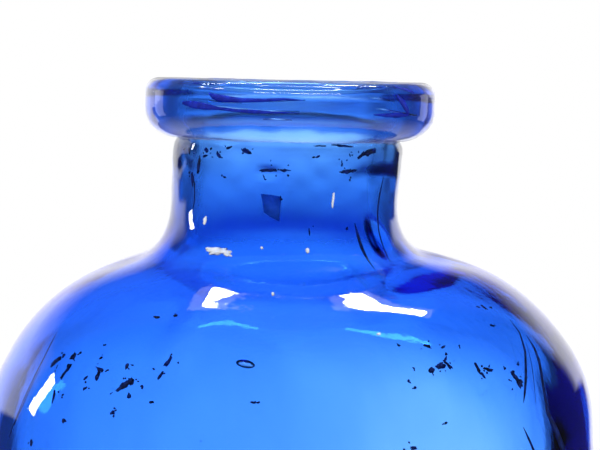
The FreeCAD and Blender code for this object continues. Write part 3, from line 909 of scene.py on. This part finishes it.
links.new(room_ramp(MIRRORED, turn_share(flared.outputs["Value"])), mirrored.inputs["Vector"])
links.new(low.outputs["Result"], mirrored.inputs["Scale"])
print("backdrop ends at a rise of", BACKDROP_TOP)

# %% One surround for each kind of ray
path = nodes.new("ShaderNodeLightPath")


def shown_to(ray, seen):
    """A mix that shows what is seen to one kind of ray, and its A to the others."""
    mix = nodes.new("ShaderNodeMix")
    mix.data_type = "RGBA"
    links.new(path.outputs[ray], mix.inputs["Factor"])
    links.new(seen, mix.inputs["B"])
    return mix


to_mirror = shown_to("Is Glossy Ray", mirrored.outputs["Vector"])
to_mirror.inputs["A"].default_value = (1, 1, 1, 1)
through = room_ramp(SEEN_THROUGH, turn_share(bearing.outputs["Value"]))
to_glass = shown_to("Is Transmission Ray", through)
links.new(to_mirror.outputs["Result"], to_glass.inputs["A"])
links.new(to_glass.outputs["Result"], nodes["Background"].inputs["Color"])
print("surround:", len(nodes), "nodes")

# %% [markdown]
# ## Lamps
# The bright shapes on the shoulder and the cyan arcs below them are strip lamps, mirrored in the outside and
# the inside of the wall. Each strip is given by the directions of its two ends, as seen from the neck, its
# height in metres and its radiance. The real room is unknown, so a lamp whose name starts with lip or body
# lights that piece alone (light linking), and the lip's lamps can't be seen through the glass.

# %% Strip lamps
STRIPS = {
    "lamp_right": ((0.17, 0.38, 0.91), (0.43, 0.40, 0.80), 0.055, 80),
    "lamp_back_left": ((-0.115, 0.36, 0.93), (-0.265, 0.40, 0.88), 0.06, 80),
    "halo_right": ((0.14, 0.38, 0.92), (0.45, 0.41, 0.79), 0.10, 1.4),
    "halo_left": ((-0.09, 0.36, 0.93), (-0.31, 0.41, 0.86), 0.10, 1.4),
    "body_lamp": ((-0.87, 0.33, 0.37), (-0.92, 0.36, 0.14), 0.08, 20),
    "lip_lamp": ((-0.24, -0.15, 0.96), (0.42, -0.15, 0.90), 0.08, 25),
    "lip_lamp_left": ((-0.36, 0.19, 0.91), (-0.50, 0.28, 0.82), 0.05, 25),
    "lip_side_left": ((-0.90, 0.44, 0), (-0.76, 0.65, 0), 0.45, 1.1),
    "lip_side_right": ((0.70, 0.71, 0), (0.86, 0.51, 0), 0.45, 1.1),
}
AIM, LAMP_DISTANCE = Vector((0, 0, 0.125)), 0.9
for name, (start, end, height, radiance) in STRIPS.items():
    start, end = Vector(start).normalized() * LAMP_DISTANCE, Vector(end).normalized() * LAMP_DISTANCE
    middle, along = (start + end) / 2, (end - start).normalized()
    light = bpy.data.lights.new(name, "AREA")
    light.shape = "RECTANGLE"
    light.size, light.size_y = (end - start).length, height
    light.energy = radiance * math.pi * light.size * light.size_y
    lamp = bpy.data.objects.new(name, light)
    away = middle.normalized()
    turn = Matrix((along, away.cross(along), away)).transposed()
    lamp.matrix_world = Matrix.Translation(AIM + middle) @ turn.to_4x4()
    bpy.context.scene.collection.objects.link(lamp)
    for word, piece in (("lip", applied_lip), ("body", blown_body)):
        if name.startswith(word):
            lit = bpy.data.collections.new(name + "_lights")
            lit.objects.link(piece)
            lamp.light_linking.receiver_collection = lit
    lamp.visible_transmission = not name.startswith("lip")
print(len(STRIPS), "strip lamps")

# %% [markdown]
# ## Camera
# The eye is level with the lip's top, close to the bottle. The aim is lowered until the lip and the axis
# fall where they do in the photograph. Light crosses four surfaces of glass and is mirrored inside the walls,
# so it needs more bounces than usual before it is given up.

# %% Camera
SENSOR_W = 36
MOST_BOUNCES = 32
camera = bpy.data.objects.new("camera", bpy.data.cameras.new("camera"))
camera.data.sensor_width = SENSOR_W
camera.data.lens = FOCAL * SENSOR_W / IMAGE_W
camera.data.clip_start = 0.01
camera.location = EYE
camera.rotation_euler = LOOK
bpy.context.scene.collection.objects.link(camera)
bpy.context.scene.camera = camera
bpy.context.scene.view_settings.view_transform = "Standard"
light_paths = bpy.context.scene.cycles
light_paths.max_bounces = MOST_BOUNCES
light_paths.glossy_bounces = MOST_BOUNCES
light_paths.transmission_bounces = MOST_BOUNCES
print("camera lens", round(camera.data.lens, 1), "mm")

# %% End of the scene
print("scene built")
